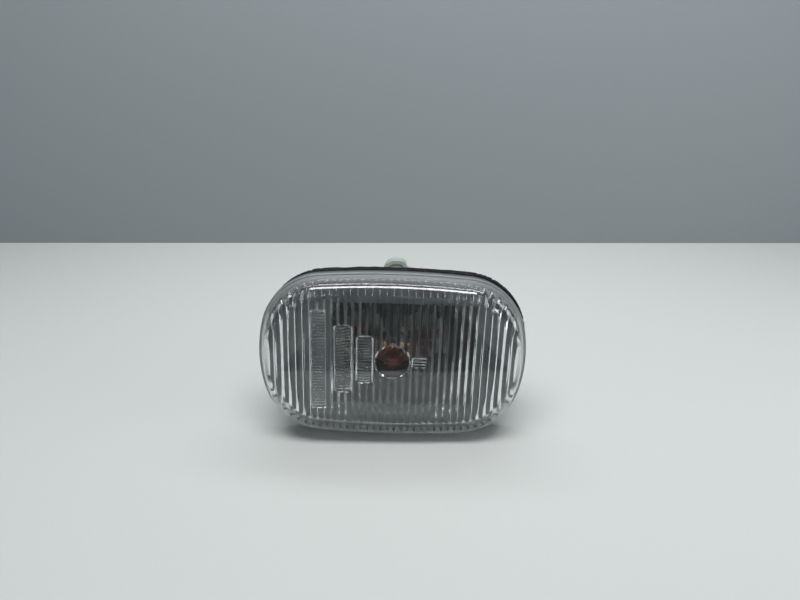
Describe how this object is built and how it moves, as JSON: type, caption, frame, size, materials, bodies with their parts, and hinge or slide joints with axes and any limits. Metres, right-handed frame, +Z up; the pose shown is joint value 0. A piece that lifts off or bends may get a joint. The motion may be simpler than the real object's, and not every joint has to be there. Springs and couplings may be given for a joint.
{
  "type": "vehicle indicator lamp",
  "caption": "Oval side indicator lamp: clear fluted lens on a dark housing with foam gasket, sprung catch, and a twist-out holder carrying an amber wedge bulb.",
  "frame": {"origin": "centre of the panel seat, in the plane of the foam gasket's rear face, on the lamp axis", "axes": "+Y rearward along the lamp axis, into the panel; the lens faces -Y; +X along the lens's length, to the right as seen from the front; +Z up"},
  "size_m": [0.0785, 0.0538, 0.0509],
  "materials": {
    "clear_acrylic": "gloss, smooth outside, fluted inside",
    "housing_plastic": "satin moulded, dark grey",
    "gasket_foam": "matt closed-cell foam",
    "holder_nylon": "satin, slightly translucent grey-green",
    "seal_rubber": "matt",
    "contact_metal": "stamped, lightly tinned",
    "amber_glass": "clear amber",
    "tungsten": "dull coiled wire",
    "lead_wire": "drawn wire"
  },
  "bodies": {
    "lamp_body": {"lens": "clear_acrylic", "housing": "housing_plastic", "gasket": "gasket_foam"},
    "holder": {"bulb_holder": "holder_nylon", "holder_seal": "seal_rubber", "contact_left": "contact_metal", "contact_right": "contact_metal", "bulb_glass": "amber_glass", "bulb_filament": "tungsten", "lead_wire_left": "lead_wire", "lead_wire_right": "lead_wire"}
  },
  "joints": [
    {"name": "holder_twist", "type": "hinge", "parent": "lamp_body", "child": "holder", "pos_m": [0, 0, 0], "axis": [0, 1, 0], "range_deg": [0, 40]}
  ]
}
